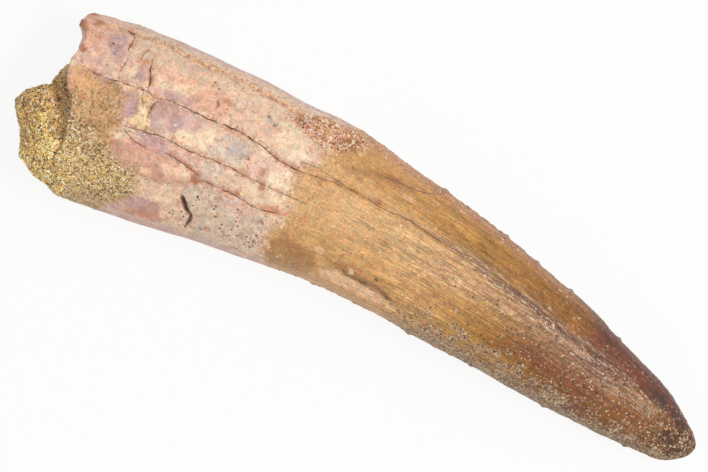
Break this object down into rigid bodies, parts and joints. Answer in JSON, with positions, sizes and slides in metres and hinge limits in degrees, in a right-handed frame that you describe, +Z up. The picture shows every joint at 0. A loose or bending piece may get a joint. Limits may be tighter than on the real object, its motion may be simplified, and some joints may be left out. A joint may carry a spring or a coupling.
{
  "type": "fossil spinosaurus tooth",
  "caption": "Curved conical fossil tooth with a broken root, lying on its side, its hollow root filled with sandstone.",
  "frame": {"origin": "middle of the specimen's underside, on the surface that it lies on", "axes": "+X along the tooth from its root to its tip, +Y towards its outward-curved cutting edge, +Z up from the surface, out of the side face that shows"},
  "size_m": [0.0888, 0.0234, 0.0174],
  "materials": {
    "fossil_tooth": "satin, glossy on the crown",
    "sandstone": "rough"
  },
  "bodies": {
    "root": {"tooth": "fossil_tooth", "sandstone": "sandstone"}
  },
  "joints": []
}
